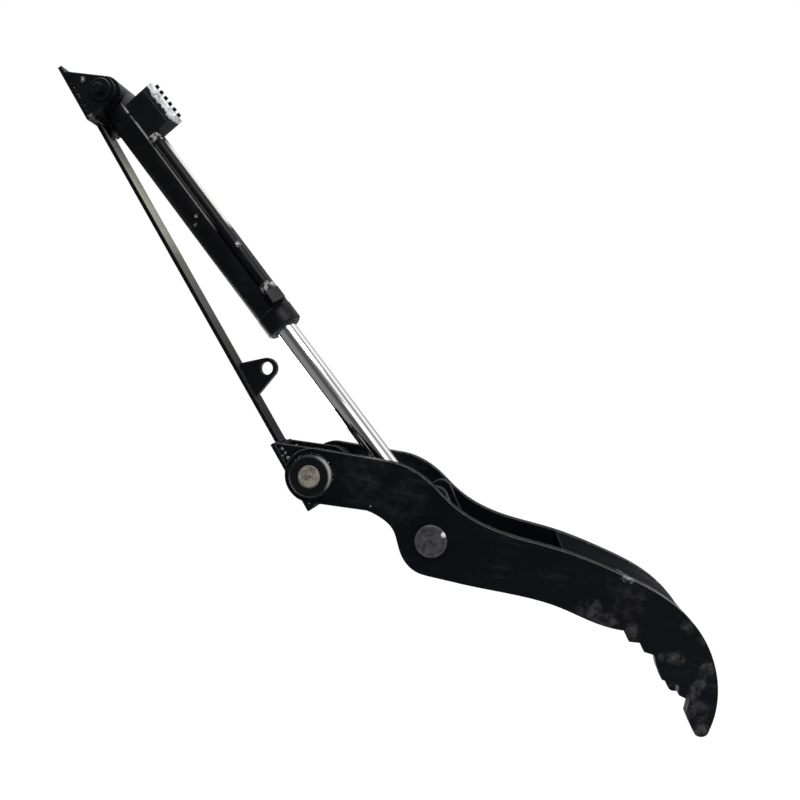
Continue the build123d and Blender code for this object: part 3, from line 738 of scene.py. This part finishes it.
def castAluminium():
    material, tree, shader, place = newMaterial("castAluminium")
    corners = [Vector(v.co) for v in frame["nodes"]["valve_cover"].data.vertices]
    depths = [corner.dot(cylinderAcross) for corner in corners]
    depth = addNode(tree, "VectorMath", {
        0: place, 1: cylinderAcross,
    }, operation="DOT_PRODUCT").outputs["Value"]
    height = addNode(tree, "MapRange", {
        "Value": depth, "From Min": min(depths), "From Max": max(depths),
    }).outputs["Result"]
    cast = addNode(tree, "TexNoise", {
        "Vector": place, "Scale": perMetre(castCover["patchSize"]), "Detail": 4.0, "Roughness": 0.6,
    }).outputs["Fac"]
    low, high = castCover["patchRange"]
    tone = addNode(tree, "MapRange", {
        "Value": cast, "From Min": low, "From Max": high,
    }).outputs["Result"]
    metal = addNode(tree, "Mix", {
        0: tone, 6: hexColour(castCover["grey"]), 7: hexColour(castCover["pale"]),
    }, data_type="RGBA").outputs[2]
    sprayEdge = addNode(tree, "Math", {0: height, 1: cast}, operation="SUBTRACT").outputs[0]
    low, high = castCover["sprayRange"]
    spray = addNode(tree, "MapRange", {
        "Value": sprayEdge, "From Min": low, "From Max": high,
    }).outputs["Result"]
    colour = addNode(tree, "Mix", {
        0: spray, 6: metal, 7: hexColour(castCover["overspray"]),
    }, data_type="RGBA").outputs[2]
    grain = addNode(tree, "TexNoise", {
        "Vector": place, "Scale": perMetre(castCover["grainSize"]), "Detail": 2.0,
    }).outputs["Fac"]
    bump = addNode(tree, "Bump", {
        "Height": grain,
        "Strength": castCover["grainStrength"],
        "Distance": castCover["grainDepth"] * mm,
    }).outputs[0]
    tree.links.new(colour, shader.inputs["Base Color"])
    tree.links.new(bump, shader.inputs["Normal"])
    shader.inputs["Roughness"].default_value = castCover["roughness"]
    shader.inputs["Specular IOR Level"].default_value = castCover["specular"]
    return material


# Bearing bronze: turned bushes, oily and a little tarnished
bushBronze = {"bright": "#a07a3c", "tarnished": "#5f4522", "tarnishSize": 8, "roughness": 0.38}


def bearingBronze():
    material, tree, shader, place = newMaterial("bearingBronze")
    tarnish = addNode(tree, "TexNoise", {
        "Vector": place, "Scale": perMetre(bushBronze["tarnishSize"]), "Detail": 4.0,
    }).outputs["Fac"]
    colour = addNode(tree, "Mix", {
        0: tarnish, 6: hexColour(bushBronze["bright"]), 7: hexColour(bushBronze["tarnished"]),
    }, data_type="RGBA").outputs[2]
    tree.links.new(colour, shader.inputs["Base Color"])
    shader.inputs["Metallic"].default_value = 1.0
    shader.inputs["Roughness"].default_value = bushBronze["roughness"]
    return material


# Nitrile rubber seals: matt black with a faint bloom
sealRubber = {"black": "#0c0c0c", "bloom": "#1d1d1e", "bloomSize": 6, "roughness": 0.75}


def nitrileRubber():
    material, tree, shader, place = newMaterial("nitrileRubber")
    bloom = addNode(tree, "TexNoise", {
        "Vector": place, "Scale": perMetre(sealRubber["bloomSize"]), "Detail": 3.0,
    }).outputs["Fac"]
    colour = addNode(tree, "Mix", {
        0: bloom, 6: hexColour(sealRubber["black"]), 7: hexColour(sealRubber["bloom"]),
    }, data_type="RGBA").outputs[2]
    tree.links.new(colour, shader.inputs["Base Color"])
    shader.inputs["Roughness"].default_value = sealRubber["roughness"]
    return material


# Marks on the paint, piece by piece. Worn spots and chips are x, z, reach, strength and,
# where only one side has them, y. Lengths are in mm and turns in degrees.
plateMarks = {
    "worn": (
        (441, -565, 13, 1.0), (431, -559, 9, 0.9), (422, -553, 8, 0.8), (475, -603, 12, 1.0),
        (462, -612, 10, 0.9), (452, -617, 10, 0.9), (441, -625, 10, 0.8), (430, -631, 10, 0.9),
        (481, -526, 12, 0.6), (493, -556, 10, 0.6), (357, -432, 22, 0.7), (372, -462, 18, 0.7),
        (399, -494, 16, 0.7), (424, -657, 22, 0.7), (410, -688, 20, 0.9), (140, -45, 60, 0.16),
        (165, -105, 50, 0.16), (420, -440, 40, 0.25),
    ),
    "chips": (
        (118, -99, 2.0, 0.35), (437, -410, 8, 0.35, -97), (444, -415, 10, 0.5, -94),
        (441, -421, 5, 0.25, -100),
    ),
}
coverMarks = {"chips": ((440, -413, 9, 0.6, -74), (433, -406, 6, 0.35, -60))}
weldMarks = {"chips": ((441, -414, 10, 0.7, -80),), "specks": 0.9}
baseMarks = {
    "chips": (
        (32, 871, 5, 0.6), (9, 804, 4.5, 0.45), (33, 750, 5, 0.6), (15.5, 70.3, 2.6, 0.8),
        (16, 63, 2.8, 0.8), (15.3, 51.2, 3.4, 0.9),
    ),
}
barrelMarks = {
    "worn": ((150, 215, 30, 0.5), (175, 300, 30, 0.6), (110, 560, 25, 0.35), (140, 470, 20, 0.35)),
    "chips": ((86.7, 535.6, 4, 0.45), (75.5, 523.4, 4, 0.3)),
    # The barrel's streaks are painted highlights along it
    "paintedHighlights": (
        {"turn": 20.0, "width": 3.2, "middle": 190, "half": 160, "strength": 0.5},
        {"turn": 22.5, "width": 4.2, "middle": 100, "half": 23, "strength": 1.0},
    ),
    # The sheen is a painted reflection of the bright room on the barrel's back flank
    "paintedSheen": {
        "middle": 240, "half": 112, "slant": (0.38, 0.62), "flank": (0.6, 0.85), "strength": 0.66,
    },
}
pipeMarks = {
    "chips": ((132.9, 441.6, 5, 0.9),),
    # The pipe's streak is a painted highlight along its flank
    "paintedHighlights": ({"turn": -50.0, "width": 20.0, "middle": 190, "half": 150, "strength": 0.07},),
}
hubMarks = {
    # A painted highlight on the near hub boss's rim, on the side towards the light
    "paintedGlint": {
        "centre": pivot, "from": 33.5, "to": 38.0, "towards": Vector((0.965, 0, -0.26)),
        "edge": 0.5, "full": 1.05, "strength": 0.5,
    },
}
pivotPinEnd = {"centre": pivot, "bright": "#8a857b", "dark": "#35312b", "dirt": 0.7, "rim": 18.5}
rodPinEnd = {
    "centre": rodPin, "bright": "#3e3e41", "dark": "#0a0a0c", "dirt": 0.85, "rim": 26.5,
    # The chip here is a painted highlight on the pin head's rim, towards the light
    "chip": rodPin + Vector((26, -109, -0.5)) * mm,
}

# The plates and the cover lie at a slant to the light, where a lower gloss keeps them black
platePaint = satinEnamel("satinEnamelPlates", scuffs=0.8, edgeHighlight=0.9, specular=0.04, **plateMarks)
coverPaint = satinEnamel("satinEnamelCover", scuffs=0.25, edgeHighlight=0.4, specular=0.001, **coverMarks)
basePaint = satinEnamel("satinEnamelBase", scuffs=0.35, edgeHighlight=0.5, **baseMarks)
barPaint = satinEnamel("dustAndSheenEnamelBar", scuffs=0.3, edgeHighlight=0.3, specular=0.06, dustAndSheen=barDustAndSheen)
barrelPaint = satinEnamel("satinEnamelBarrel", scuffs=0.6, edgeHighlight=0.4, **barrelMarks)
pipePaint = satinEnamel("satinEnamelPipe", scuffs=0.6, edgeHighlight=0.3, **pipeMarks)
hubPaint = satinEnamel("satinEnamelHub", scuffs=0.4, edgeHighlight=0.6, **hubMarks)
weldPaint = satinEnamel("satinEnamelWelds", scuffs=0.2, edgeHighlight=0.2, **weldMarks)
rodPinSteel = turnedPinEnd("wornSteelRodPin", rodPinEnd)
zinc = zincPlate()
bronze = bearingBronze()
rubber = nitrileRubber()
print("materials made")

nodeFinish = {
    "pivot_pin": turnedPinEnd("turnedSteelPivotPin", pivotPinEnd),
    "rod_pin_near": rodPinSteel,
    "rod_pin_far": rodPinSteel,
    "rod_pin_core": rodPinSteel,
    "rod": hardChrome(),
    "rod_wiper": rubber,
    "piston_seals": rubber,
    "piston": zinc,
    "piston_nut": zinc,
    "lock_bolt": zinc,
    "anchor_nipple": zinc,
    "rod_nipple": zinc,
    "pivot_nipple": zinc,
    "anchor_pin": zinc,
    "pivot_bush_near": bronze,
    "pivot_bush_far": bronze,
    "barrel_bush": bronze,
    "rod_bush": bronze,
    "valve_cover": castAluminium(),
    "pipe_nuts": sprayedZinc(),
    "hard_pipe": pipePaint,
    "back_cover": coverPaint,
    "hub_boss_near": hubPaint,
    "base_bar": barPaint,
}
bodyFinish = {"base": basePaint, "barrel": barrelPaint, "rod": barrelPaint, "thumb": platePaint}
for name, node in frame["nodes"].items():
    finish = nodeFinish.get(name, bodyFinish[node["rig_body"]])
    node.data.materials.clear()
    node.data.materials.append(finish)


# Weld beads: a round bar laid in the corner, swelling and shrinking with each ripple
bead = {
    "step": 1.9,
    "swell": (1.0, 0.84),
    "endSwell": 0.5,
    "sidesRound": 8,
    "ringSteps": 56,
}
weldSizes = {"foot": 3.4, "ring": 3.2, "seam": 2.6, "small": 2.4}


def addPiece(name, body, shape, finish):
    mesh = bpy.data.meshes.new(name)
    shape.to_mesh(mesh)
    shape.free()
    mesh.polygons.foreach_set("use_smooth", [True] * len(mesh.polygons))
    mesh.materials.append(finish)
    piece = bpy.data.objects.new(name, mesh)
    bpy.context.collection.objects.link(piece)
    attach(piece, body)


def weldBead(name, body, path, radius):
    points = [Vector(point) * mm for point in path]
    stations = [points[0]]
    for start, end in zip(points, points[1:]):
        count = max(1, round((end - start).length / (bead["step"] * mm)))
        stations += [start.lerp(end, number / count) for number in range(1, count + 1)]
    shape = bmesh.new()
    bmesh.ops.create_circle(shape, cap_ends=True, segments=bead["sidesRound"], radius=radius * mm)
    lead = shape.faces[:][0]
    last = Matrix.Identity(4)
    for number, station in enumerate(stations):
        before = stations[max(number - 1, 0)]
        after = stations[min(number + 1, len(stations) - 1)]
        heading = (after - before).to_track_quat("Z", "Y").to_matrix().to_4x4()
        swell = bead["swell"][number % 2]
        if number in (0, len(stations) - 1):
            swell = bead["endSwell"]
        here = Matrix.Translation(station) @ heading @ Matrix.Scale(swell, 4)
        if number:
            made = bmesh.ops.extrude_face_region(shape, geom=[lead])
            corners = [item for item in made["geom"] if isinstance(item, bmesh.types.BMVert)]
            lead = [item for item in made["geom"] if isinstance(item, bmesh.types.BMFace)][0]
        else:
            corners = shape.verts[:]
        bmesh.ops.transform(shape, matrix=here @ last.inverted(), verts=corners)
        last = here
    bmesh.ops.recalc_face_normals(shape, faces=shape.faces[:])
    addPiece(name, body, shape, weldPaint)


def inMillimetres(name):
    low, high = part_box(name)
    return low / mm, high / mm


def ringPath(centre, radius, first, second):
    path = []
    for number in range(bead["ringSteps"] + 1):
        angle = 2 * math.pi * number / bead["ringSteps"]
        path.append(centre + (first * math.cos(angle) + second * math.sin(angle)) * radius)
    return path


# Plates that stand on the base, welded down both of their sides, short of their ends
footed = {
    "anchor_ear_near": "foot", "anchor_ear_far": "foot",
    "pivot_ear_near": "foot", "pivot_ear_far": "foot",
    "anchor_rib": "small", "stow_lug": "small",
}
footGap, barGap = 2, 1
barLow, barHigh = inMillimetres("base_bar")
for node, size in footed.items():
    low, high = inMillimetres(node)
    for label, y in (("low", low.y), ("high", high.y)):
        ends = [(barHigh.x, y, low.z + footGap), (barHigh.x, y, high.z - footGap)]
        weldBead(f"weld_{node}_{label}", "base", ends, weldSizes[size])

# The bar is butted to both plates
for label, z in (("lower", barLow.z), ("upper", barHigh.z)):
    ends = [(barHigh.x, barLow.y + barGap, z), (barHigh.x, barHigh.y - barGap, z)]
    weldBead(f"weld_bar_{label}", "base", ends, weldSizes["small"])

# Ring welds: tube in its ears, bosses on the side plates, cap on the barrel
ringWelds = {
    "tubeRadius": 30.0,
    "earFace": 38.0,
    "bossRadius": 37.5,
    "plateFaces": {"inner": 80.0, "outer": 100.0},
    "barrelRadius": 35.0,
    "capEnd": 60.0,
}
pivotMm, anchorMm = pivot / mm, anchor / mm
for which, side in sides.items():
    middle = pivotMm + acrossY * ringWelds["earFace"] * side
    ring = ringPath(middle, ringWelds["tubeRadius"], acrossX, acrossZ)
    weldBead(f"weld_tube_{which}", "base", ring, weldSizes["ring"])
    for label, y in ringWelds["plateFaces"].items():
        ring = ringPath(pivotMm + acrossY * y * side, ringWelds["bossRadius"], acrossX, acrossZ)
        weldBead(f"weld_boss_{which}_{label}", "thumb", ring, weldSizes["ring"])
capMiddle = anchorMm + cylinderAlong * ringWelds["capEnd"]
capRing = ringPath(capMiddle, ringWelds["barrelRadius"], cylinderAcross, acrossY)
weldBead("weld_cap", "barrel", capRing, weldSizes["seam"])

# Straight seams along the barrel, on both sides of the valve block and of the head port:
# start and end from the anchor, across towards the back, and out to the near side
barrelSeams = {
    "weld_block_low": (56, 129, 17.5, 30.6),
    "weld_block_high": (56, 129, 29.3, 19.6),
    "weld_port_low": (506, 528, 8.2, 34.4),
    "weld_port_high": (506, 528, 31.2, 16.4),
}
for name, (start, end, across, near) in barrelSeams.items():
    beside = anchorMm + cylinderAcross * across + towardsNear * near
    ends = [beside + cylinderAlong * level for level in (start, end)]
    weldBead(name, "barrel", ends, weldSizes["small"])


# The back cover is laid between the side plates, and its seams follow the curve
coverSeam = {
    "middle": Vector((152, 0, -560)),
    "bins": 44,
    "sink": 1.6,
    "sameFace": 0.5,
    "limit": 488,  # stays inside the widest point of the plates
}


def coverSeamPath(y):
    middle = coverSeam["middle"]
    corners = [Vector(v.co) / mm for v in frame["nodes"]["back_cover"].data.vertices]
    edge = [c - middle for c in corners if abs(c.y - y) < coverSeam["sameFace"]]
    angles = [math.atan2(c.z, c.x) for c in edge]
    low, high = min(angles), max(angles)
    outer = {}
    for corner, angle in zip(edge, angles):
        place = round((angle - low) / (high - low) * coverSeam["bins"])
        reach = math.hypot(corner.x, corner.z)
        if place not in outer or reach > outer[place][0]:
            outer[place] = (reach, angle)
    path = []
    for place in sorted(outer):
        reach, angle = outer[place]
        inside = reach - coverSeam["sink"]
        point = middle + Vector((math.cos(angle), 0, math.sin(angle))) * inside
        path.append(Vector((point.x, y, point.z)))
    return [point for point in path if point.x < coverSeam["limit"]]


for which, side in sides.items():
    seam = coverSeamPath(ringWelds["plateFaces"]["inner"] * side)
    weldBead(f"weld_cover_{which}", "thumb", seam, weldSizes["seam"])
print("weld beads laid")


# Stage: white paper and a room that is bright above and to the right, dim elsewhere
stageSettings = {
    "floorDrop": 120,
    "floorSize": 9.0,
    "paper": "#f4f4f4",
    "white": "#ffffff",
    "paperShare": 0.06,
    "paperGlow": 1.045,  # makes up for the lit paper's share, so no horizon shows
    "paperGloss": 0.14,
    "litFrom": Vector((0.6, 0.1, 0.79)),
    "litEdge": (0.4, 0.56),
    "dimGloss": 0.2,
    "ambient": 0.42,
}
lamps = {
    "key": {"from": Vector((2.0, -1.9, 1.7)), "size": (2.0, 1.6), "watts": 80},
    "overhead": {"from": Vector((0.9, 0.3, 2.6)), "size": (2.6, 1.4), "watts": 60},
    "rodStrip": {"from": Vector((1.45, -2.1, 0.0)), "size": (1.1, 0.9), "watts": 4.4},
    "behind": {"from": Vector((-2.2, 1.9, 0.1)), "size": (2.2, 1.6), "watts": 55},
}


# One for rays from the camera and through glass, which see the plain white background
def seenRays(tree, rays):
    return addNode(tree, "Math", {
        0: rays["Is Camera Ray"], 1: rays["Is Transmission Ray"],
    }, operation="MAXIMUM").outputs[0]


def addFloor(settings):
    shape = bmesh.new()
    bmesh.ops.create_grid(shape, x_segments=1, y_segments=1, size=settings["floorSize"])
    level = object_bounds()[0].z - settings["floorDrop"] * mm
    bmesh.ops.translate(shape, vec=(0, 0, level), verts=shape.verts)
    mesh = bpy.data.meshes.new("floor")
    shape.to_mesh(mesh)
    shape.free()
    floor = bpy.data.objects.new("floor", mesh)
    bpy.context.collection.objects.link(floor)
    material = bpy.data.materials.new("whitePaper")
    material.use_nodes = True
    tree = material.node_tree
    tree.nodes.clear()
    paper = addNode(tree, "BsdfDiffuse", {"Color": hexColour(settings["paper"])}).outputs[0]
    glow = addNode(tree, "Emission", {
        "Color": hexColour(settings["white"]), "Strength": settings["paperGlow"],
    }).outputs[0]
    rays = addNode(tree, "LightPath").outputs
    direct = addNode(tree, "Math", {
        0: seenRays(tree, rays), 1: 1 - settings["paperShare"],
    }, operation="MULTIPLY").outputs[0]
    gloss = addNode(tree, "Math", {
        0: rays["Is Glossy Ray"], 1: settings["paperGloss"],
    }, operation="MULTIPLY").outputs[0]
    share = addNode(tree, "Math", {0: direct, 1: gloss}, operation="MAXIMUM").outputs[0]
    look = addNode(tree, "MixShader", {0: share, 1: paper, 2: glow}).outputs[0]
    addNode(tree, "OutputMaterial", {"Surface": look})
    mesh.materials.append(material)
    floor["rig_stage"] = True


def addRoom(settings):
    world = bpy.data.worlds.new("whiteRoom")
    bpy.context.scene.world = world
    world.use_nodes = True
    tree = world.node_tree
    tree.nodes.clear()
    rays = addNode(tree, "LightPath").outputs
    heading = addNode(tree, "TexCoord").outputs["Generated"]
    towardsLight = addNode(tree, "VectorMath", {
        0: heading, 1: settings["litFrom"],
    }, operation="DOT_PRODUCT").outputs["Value"]
    low, high = settings["litEdge"]
    lit = addNode(tree, "MapRange", {
        "Value": towardsLight, "From Min": low, "From Max": high, "To Min": settings["dimGloss"],
    }).outputs["Result"]
    glossy = addNode(tree, "Math", {
        0: rays["Is Glossy Ray"], 1: lit,
    }, operation="MULTIPLY").outputs[0]
    shown = addNode(tree, "Math", {
        0: seenRays(tree, rays), 1: glossy,
    }, operation="MAXIMUM").outputs[0]
    lighting = addNode(tree, "Math", {
        0: rays["Is Diffuse Ray"], 1: settings["ambient"],
    }, operation="MULTIPLY").outputs[0]
    strength = addNode(tree, "Math", {0: shown, 1: lighting}, operation="MAXIMUM").outputs[0]
    room = addNode(tree, "Background", {
        "Color": hexColour(settings["white"]), "Strength": strength,
    }).outputs[0]
    addNode(tree, "OutputWorld", {"Surface": room})


def addLamps(middle):
    for name, lamp in lamps.items():
        data = bpy.data.lights.new(name, "AREA")
        data.shape = "RECTANGLE"
        data.size, data.size_y = lamp["size"]
        data.energy = lamp["watts"]
        holder = bpy.data.objects.new(name, data)
        holder.location = middle + lamp["from"]
        holder.rotation_mode = "QUATERNION"
        holder.rotation_quaternion = (-lamp["from"]).to_track_quat("-Z", "Y")
        bpy.context.collection.objects.link(holder)


addFloor(stageSettings)
addRoom(stageSettings)
addLamps((cadBox[0] + cadBox[1]) / 2)
print("stage set")
